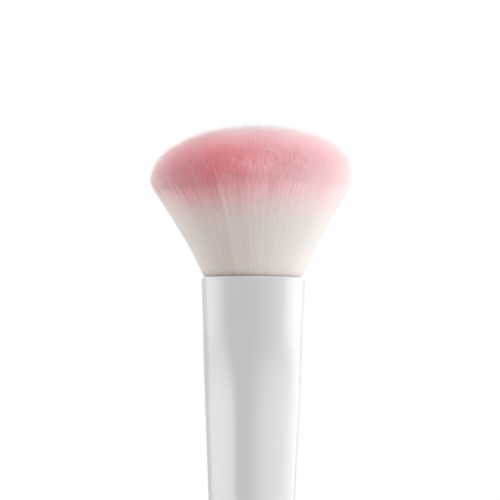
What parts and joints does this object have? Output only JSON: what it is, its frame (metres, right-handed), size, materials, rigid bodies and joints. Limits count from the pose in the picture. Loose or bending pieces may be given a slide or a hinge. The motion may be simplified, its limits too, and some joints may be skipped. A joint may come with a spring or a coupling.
{
  "type": "powder brush",
  "caption": "Large round powder brush: dense domed pink-tipped bristle head flaring out of a long glossy white handle that turns from round to four-sided and stands on its flat end.",
  "frame": {"origin": "middle of the handle's flat end", "axes": "+Z along the brush from the flat end to the bristle tips; the handle's four soft corner ridges face +X, -X, +Y and -Y"},
  "size_m": [0.0516, 0.0517, 0.171],
  "materials": {
    "handle_gloss": "gloss",
    "sleeve_metal": "satin",
    "glue": "satin",
    "cast_resin": "satin",
    "bristles": "matte"
  },
  "bodies": {
    "root": {"handle": "handle_gloss", "inner_sleeve": "sleeve_metal", "glue_bed": "glue", "root_plug": "cast_resin", "bristle_tuft": "bristles"}
  },
  "joints": []
}
